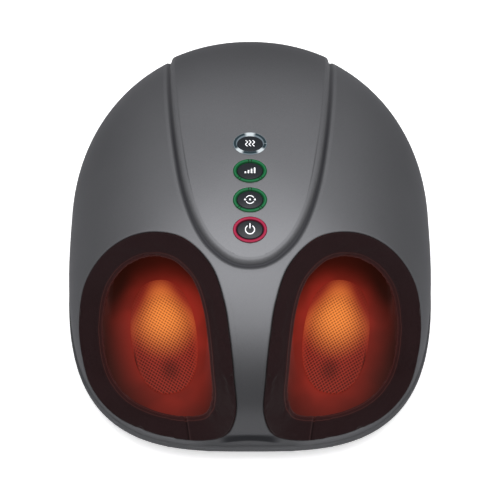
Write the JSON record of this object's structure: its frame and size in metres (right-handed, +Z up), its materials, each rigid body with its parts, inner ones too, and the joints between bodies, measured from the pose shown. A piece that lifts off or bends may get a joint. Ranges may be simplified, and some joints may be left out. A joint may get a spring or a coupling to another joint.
{
  "type": "shiatsu foot massager",
  "caption": "Domed foot massager with two leaning padded foot pockets, sprung panel buttons, and worm-driven kneading heads turning under glowing net soles.",
  "frame": {"origin": "on the floor under the middle of the machine's bounding box", "axes": "+X to the user's right, +Y from the heels towards the toes and the machine's back, +Z up"},
  "size_m": [0.3612, 0.4229, 0.2104],
  "materials": {
    "shell": "satin metallic grey paint on moulded plastic",
    "tray": "satin dark grey paint on moulded plastic",
    "panel": "satin metallic grey paint on moulded plastic",
    "button_face": "satin charcoal",
    "white_ring": "frosted, lit icy white",
    "green_ring": "frosted green",
    "red_ring": "frosted crimson",
    "collar_fabric": "matt dark brown padded cloth",
    "liner_fabric": "dark red-brown short-pile cloth",
    "sole_net": "fine open cloth lit orange-red from below",
    "black_plastic": "moulded black",
    "nylon": "natural white nylon",
    "rubber": "matt black",
    "head_rubber": "matt dark grey",
    "steel": "bright steel",
    "circuit_board": "green solder mask",
    "airbag": "matt grey coated cloth"
  },
  "bodies": {
    "housing": {"upper_housing": "shell", "lower_housing": "tray", "control_panel": "panel", "button_board": "circuit_board", "main_board": "circuit_board", "air_pump": "black_plastic", "valve_block": "black_plastic", "power_inlet": "black_plastic", "power_light_ring": "red_ring", "mode_light_ring": "green_ring", "strength_light_ring": "green_ring", "heat_light_ring": "white_ring", "front_left_foot": "rubber", "front_right_foot": "rubber", "rear_left_foot": "rubber", "rear_right_foot": "rubber", "left_housing_screw": "steel", "right_housing_screw": "steel", "rear_left_housing_screw": "steel", "rear_right_housing_screw": "steel", "front_housing_screw": "steel", "left_collar": "collar_fabric", "left_liner": "liner_fabric", "left_instep_airbag": "airbag", "left_air_hose": "rubber", "left_sole_net": "sole_net", "left_sole_plate": "black_plastic", "left_gearbox": "black_plastic", "left_gearbox_cover": "black_plastic", "left_motor": "steel", "left_lamp_board": "circuit_board", "right_collar": "collar_fabric", "right_liner": "liner_fabric", "right_instep_airbag": "airbag", "right_air_hose": "rubber", "right_sole_net": "sole_net", "right_sole_plate": "black_plastic", "right_gearbox": "black_plastic", "right_gearbox_cover": "black_plastic", "right_motor": "steel", "right_lamp_board": "circuit_board"},
    "power_button": {"power_button": "button_face"},
    "mode_button": {"mode_button": "button_face"},
    "strength_button": {"strength_button": "button_face"},
    "heat_button": {"heat_button": "button_face"},
    "left_worm": {"left_worm_shaft": "steel"},
    "left_heel_head": {"left_heel_kneading_disc": "nylon", "left_heel_kneading_cap": "head_rubber", "left_heel_worm_wheel": "nylon"},
    "left_toe_head": {"left_toe_kneading_disc": "nylon", "left_toe_kneading_cap": "head_rubber", "left_toe_worm_wheel": "nylon"},
    "right_worm": {"right_worm_shaft": "steel"},
    "right_heel_head": {"right_heel_kneading_disc": "nylon", "right_heel_kneading_cap": "head_rubber", "right_heel_worm_wheel": "nylon"},
    "right_toe_head": {"right_toe_kneading_disc": "nylon", "right_toe_kneading_cap": "head_rubber", "right_toe_worm_wheel": "nylon"}
  },
  "joints": [
    {"name": "power_button_press", "type": "slide", "parent": "housing", "child": "power_button", "axis": [0, 0.2573, -0.9663], "range_m": [0, 0.001], "stiffness_N_per_m": 400, "springref_m": -0.002},
    {"name": "mode_button_press", "type": "slide", "parent": "housing", "child": "mode_button", "axis": [0, 0.1613, -0.9869], "range_m": [0, 0.001], "stiffness_N_per_m": 400, "springref_m": -0.002},
    {"name": "strength_button_press", "type": "slide", "parent": "housing", "child": "strength_button", "axis": [0, 0.0769, -0.997], "range_m": [0, 0.001], "stiffness_N_per_m": 400, "springref_m": -0.002},
    {"name": "heat_button_press", "type": "slide", "parent": "housing", "child": "heat_button", "axis": [0, 0.0108, -0.9999], "range_m": [0, 0.001], "stiffness_N_per_m": 400, "springref_m": -0.002},
    {"name": "left_worm_spin", "type": "hinge", "parent": "housing", "child": "left_worm", "pos_m": [-0.06017, -0.08302, 0.02916], "axis": [-0.1384, 0.9848, 0.1045], "continuous": true},
    {"name": "left_heel_head_spin", "type": "hinge", "parent": "housing", "child": "left_heel_head", "pos_m": [-0.08076, -0.11609, 0.05518], "axis": [0.0145, -0.1035, 0.9945], "continuous": true},
    {"name": "left_toe_head_spin", "type": "hinge", "parent": "housing", "child": "left_toe_head", "pos_m": [-0.08824, -0.06291, 0.06082], "axis": [0.0145, -0.1035, 0.9945], "continuous": true},
    {"name": "right_worm_spin", "type": "hinge", "parent": "housing", "child": "right_worm", "pos_m": [0.06017, -0.08302, 0.02916], "axis": [0.1384, 0.9848, 0.1045], "continuous": true},
    {"name": "right_heel_head_spin", "type": "hinge", "parent": "housing", "child": "right_heel_head", "pos_m": [0.08076, -0.11609, 0.05518], "axis": [-0.0145, -0.1035, 0.9945], "continuous": true},
    {"name": "right_toe_head_spin", "type": "hinge", "parent": "housing", "child": "right_toe_head", "pos_m": [0.08824, -0.06291, 0.06082], "axis": [-0.0145, -0.1035, 0.9945], "continuous": true}
  ],
  "couplings": [
    {"joint": "left_heel_head_spin", "follows": "left_worm_spin", "ratio": -0.055556},
    {"joint": "left_toe_head_spin", "follows": "left_worm_spin", "ratio": -0.055556},
    {"joint": "right_heel_head_spin", "follows": "right_worm_spin", "ratio": -0.055556},
    {"joint": "right_toe_head_spin", "follows": "right_worm_spin", "ratio": -0.055556}
  ]
}
